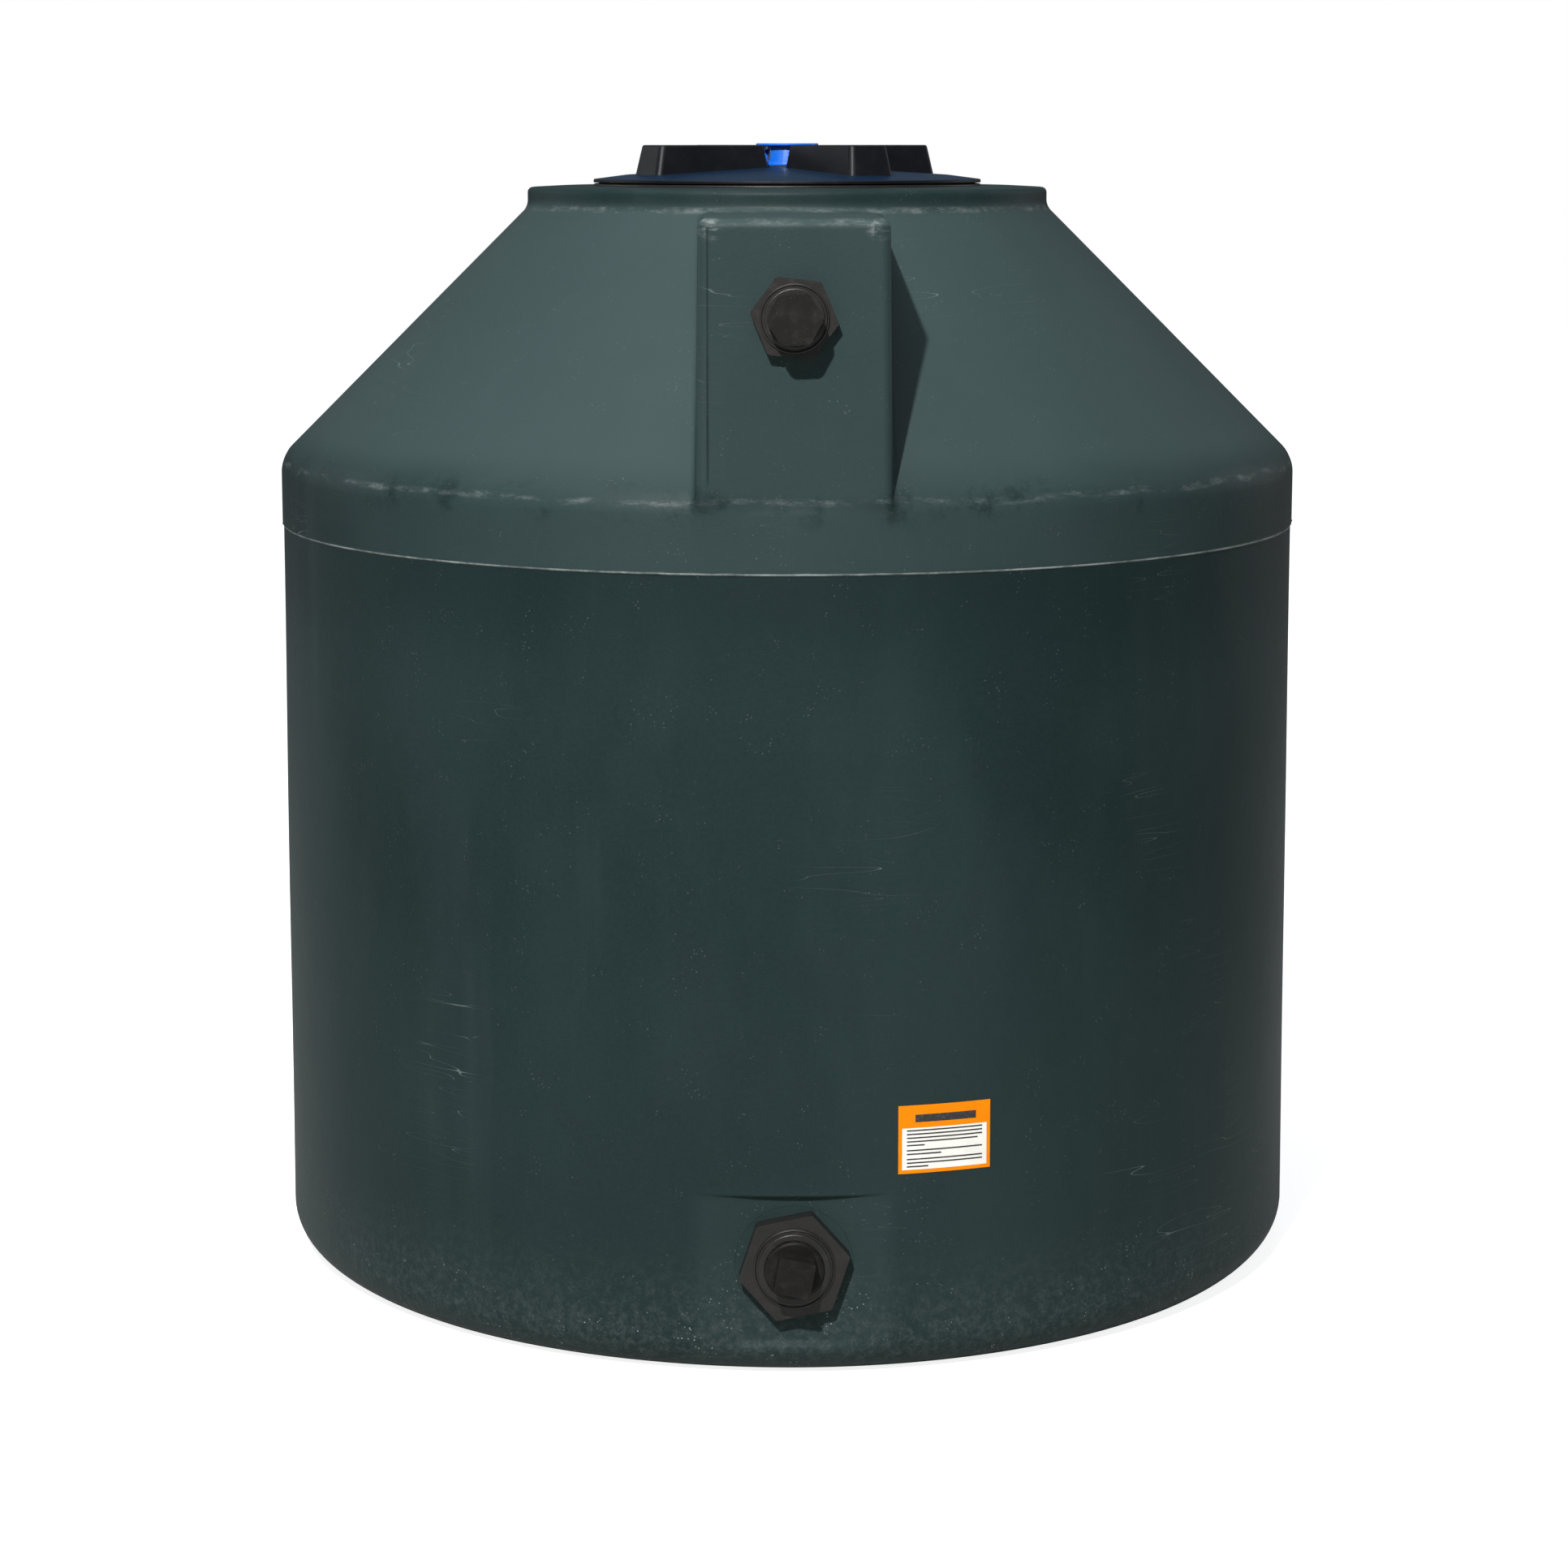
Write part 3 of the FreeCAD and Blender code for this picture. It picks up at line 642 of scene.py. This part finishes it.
def tank_shell():
    """Outer skin with pad, flat and parting line, joined at the neck to the inner skin."""
    outside = shell_surface(True, 0.0)
    inside = shell_surface(False, WALL)
    columns = outside.shape[1]
    skin = np.concatenate([outside, inside[::-1]])
    vertices = skin.reshape(-1, 3)
    faces = grid_faces(skin.shape[0], columns)
    bottom_out = len(vertices)
    bottom_in = bottom_out + 1
    vertices = np.vstack([vertices, [[0, 0, 0], [0, 0, WALL]]])
    last = (skin.shape[0] - 1) * columns
    for j in range(columns):
        k = (j + 1) % columns
        faces.append((bottom_out, k, j))
        faces.append((bottom_in, last + j, last + k))
    piece = new_piece("tank_shell_moulded", vertices, faces, "tank", TANK, 50)
    for node, y in (("upper_fitting_body", -PAD_FACE), ("lower_fitting_body", -FLAT_FACE)):
        cutter = bore_cutter(node, y)
        cut = piece.modifiers.new("bore", "BOOLEAN")
        cut.object = cutter
        cut.solver = "EXACT"
        bpy.context.view_layer.objects.active = piece
        bpy.ops.object.modifier_apply(modifier=cut.name)
        bpy.data.objects.remove(cutter)
    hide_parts("tank_shell")
    return piece


TANK = tank_plastic()
LID = black_plastic("lid_black", (0.0032, 0.0036, 0.0052), 0.40, 0.03, 0.16, sky=(0.0015, 0.011, 0.030))
FITTING = black_plastic("fitting_black", (0.0105, 0.0098, 0.0092), 0.34, 0.10, 0.30, 900.0, 0.08)
PLUG = black_plastic("plug_black", (0.0066, 0.0060, 0.0055), 0.42, 0.12, 0.12, 700.0, 0.12)
BLUE = blue_plastic()
RUBBER = rubber()
STEEL = stainless()
SCREEN = screen_mesh()
TAPE = thread_tape()

tank_shell()

soften("manway_lid", 0.8 * MM, LID)
soften("manway_ring", 0.5 * MM, FITTING)
for side in ("upper", "lower"):
    soften(side + "_fitting_nut", 1.2 * MM, FITTING)
    soften(side + "_fitting_body", 0.5 * MM, FITTING)
    soften(side + "_plug", 1.5 * MM, PLUG)
    paint_node(side + "_plug_tape", TAPE)
    paint_node(side + "_fitting_gasket", RUBBER)
for name in ("manway_ring_gasket", "lid_gasket", "vent_washer"):
    paint_node(name, RUBBER)
paint_node("ring_screws", STEEL)
paint_node("vent_screen", SCREEN)
soften("vent_body", 0.4 * MM, BLUE)
soften("vent_cap", 0.4 * MM, BLUE)
soften("vent_nut", 0.6 * MM, FITTING)

# --------------------------------------------------------------------- label
ORANGE = vinyl("label_orange", (0.72, 0.20, 0.0), 0.01)
WHITE = vinyl("label_white", (0.72, 0.71, 0.66), 0.2)
INK = vinyl("label_ink", (0.03, 0.03, 0.032), 0.3)
paint_node("info_label", ORANGE)

# each plain bar's right end and the step down to the next one, in mm
LABEL_LINES = ((41, 3.9), (41, 3.9), (41, 3.9), (36, 3.9), (-22, 5.4),
               (41, 3.9), (-4, 5.4), (41, 3.9), (41, 3.9), (-18, 3.9))
PANEL_LIFT = 0.52 * MM    # white panel and heading above the tank's surface
BAR_LIFT = 0.62 * MM
PRINT_THICK = 0.12 * MM
PATCH_STEPS = 24


def label_patch(name, left, right, low, high, lift, material):
    """Curved patch on the label; left and right in metres from its middle."""
    steps = PATCH_STEPS
    vertices = []
    for radius in (TANK_R + lift, TANK_R + lift - PRINT_THICK):
        for z in (low, high):
            for i in range(steps + 1):
                turn = LABEL_TURN + (left + (right - left) * i / steps) / TANK_R
                vertices.append((radius * math.sin(turn), -radius * math.cos(turn), z))
    n = steps + 1
    faces = []
    for i in range(steps):
        faces.append((i, i + 1, n + i + 1, n + i))
        faces.append((2 * n + i, 3 * n + i, 3 * n + i + 1, 2 * n + i + 1))
        faces.append((i, 2 * n + i, 2 * n + i + 1, i + 1))
        faces.append((n + i, n + i + 1, 3 * n + i + 1, 3 * n + i))
    faces.append((0, n, 3 * n, 2 * n))
    faces.append((steps, 2 * n + steps, 3 * n + steps, n + steps))
    return new_piece(name, vertices, faces, "tank", material, 30)


def info_label():
    """White panel and plain grey bars on the orange label."""
    z = LABEL_Z
    label_patch("label_panel", -46 * MM, 46 * MM, z - 32 * MM, z + 12 * MM, PANEL_LIFT, WHITE)
    line = z + 8.6 * MM
    for i, (right, gap) in enumerate(LABEL_LINES):
        label_patch(f"label_bar_{i}", -41 * MM, right * MM, line, line + 1.5 * MM, BAR_LIFT, INK)
        line -= gap * MM
    label_patch("label_heading", -32 * MM, 34 * MM, z + 18 * MM, z + 26 * MM, PANEL_LIFT, INK)


info_label()


# ------------------------------------------------------------ studio, camera
def area_light(name, place, target, size, power, color):
    """Soft rectangular lamp aimed at a point."""
    data = bpy.data.lights.new(name, "AREA")
    data.shape = "RECTANGLE"
    data.size, data.size_y = size
    data.energy = power
    data.color = color
    lamp = bpy.data.objects.new(name, data)
    lamp.location = place
    lamp.rotation_euler = (Vector(target) - Vector(place)).to_track_quat("-Z", "Y").to_euler()
    bpy.context.scene.collection.objects.link(lamp)


def studio():
    """Floor that looks white, a hard sun, three soft lamps and a surround that looks white.

    The floor's glow and the white of the surround are seen by the camera only, so
    neither lights the tank.
    """
    bpy.ops.mesh.primitive_plane_add(size=40)
    floor = bpy.context.object
    floor.name = "studio_floor"
    floor.location.z = -0.2 * MM
    p = Paint("studio_floor", (0.50, 0.50, 0.49), 0.85, Specular_IOR_Level=0.0)
    p.color(p.mix(p.noise(3.0, 4.0), (0.48, 0.48, 0.47), (0.52, 0.52, 0.51)))
    seen = p.add("LightPath", "Is Camera Ray")
    away = p.add("VectorMath", "Value", {"operation": "LENGTH"}, Vector=p.place)
    p.feed(p.shader.inputs["Emission Color"], (1.0, 1.0, 1.0))
    glow = p.scaled(p.fade(away, 0.9, 2.4), 0.86, 1.0)
    p.feed(p.shader.inputs["Emission Strength"], p.times(seen, glow))
    floor.data.materials.append(p.material)
    centre = (0, 0, 0.65)
    area_light("sun", (-1.02, -4.6, 4.1), centre, (0.12, 0.12), 490, (1.0, 0.99, 0.98))
    area_light("top", (-0.6, -0.8, 4.4), centre, (3.0, 3.0), 80, (0.95, 0.98, 1.0))
    area_light("back_left", (-4.5, 2.2, 2.0), centre, (2.0, 3.0), 26, (0.94, 0.98, 1.0))
    area_light("back_right", (4.5, 2.6, 2.0), centre, (2.0, 3.0), 28, (0.94, 0.98, 1.0))
    world = bpy.data.worlds.new("surround")
    bpy.context.scene.world = world
    world.use_nodes = True
    nodes, links = world.node_tree.nodes, world.node_tree.links
    background = nodes["Background"]
    direction = nodes.new("ShaderNodeTexCoord").outputs["Generated"]
    split = nodes.new("ShaderNodeSeparateXYZ")
    ramp = nodes.new("ShaderNodeValToRGB")
    links.new(direction, split.inputs[0])
    links.new(split.outputs["Z"], ramp.inputs["Fac"])
    ramp.color_ramp.elements[0].color = (0.10, 0.11, 0.11, 1)
    ramp.color_ramp.elements[1].position = 0.7
    ramp.color_ramp.elements[1].color = (0.22, 0.26, 0.29, 1)
    seen = nodes.new("ShaderNodeLightPath").outputs["Is Camera Ray"]
    white = nodes.new("ShaderNodeMix")
    white.data_type = "RGBA"
    links.new(seen, white.inputs["Factor"])
    links.new(ramp.outputs["Color"], white.inputs[6])
    white.inputs[7].default_value = (1, 1, 1, 1)
    links.new(white.outputs[2], background.inputs["Color"])
    bpy.context.scene.view_settings.view_transform = "Standard"


def camera():
    """Long lens a little above the tank's shoulder, with a slight downward tilt."""
    data = bpy.data.cameras.new("camera")
    data.sensor_width = 36
    data.lens = 81.0
    data.shift_y = -0.14
    data.shift_x = -0.002
    view = bpy.data.objects.new("camera", data)
    turn = math.radians(-0.71)
    distance = 4.112
    view.location = (distance * math.sin(turn), -distance * math.cos(turn), 1.2735)
    view.rotation_euler = (math.radians(90 - 6.83), 0, turn)
    bpy.context.scene.collection.objects.link(view)
    bpy.context.scene.camera = view


studio()
camera()
